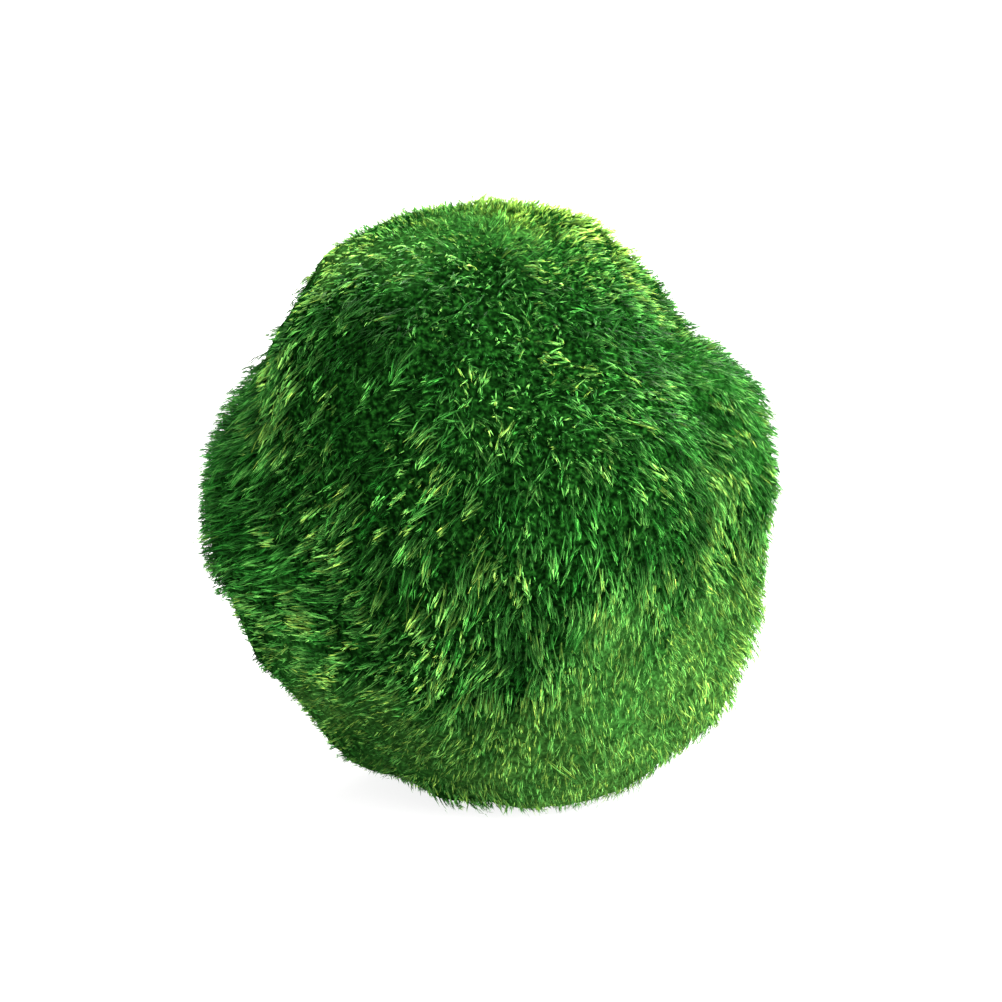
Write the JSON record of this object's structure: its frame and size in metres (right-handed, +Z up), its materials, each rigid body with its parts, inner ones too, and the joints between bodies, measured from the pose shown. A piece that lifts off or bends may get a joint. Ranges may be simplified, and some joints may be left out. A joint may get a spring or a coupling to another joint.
{
  "type": "marimo moss ball",
  "caption": "Lumpy green moss ball of felted filaments, with soft lobes and drooping locks, that rests on a small flat spot.",
  "frame": {"origin": "centre of the ball's width and depth, at the level of the flat spot that it rests on", "axes": "+Z up from the flat spot to the crown, -Y towards the side that is seen first, +X to its right"},
  "size_m": [0.05, 0.049, 0.0516],
  "materials": {
    "moss": "matte, of fine drooping green filaments"
  },
  "bodies": {
    "root": {"moss_ball": "moss"}
  },
  "joints": []
}
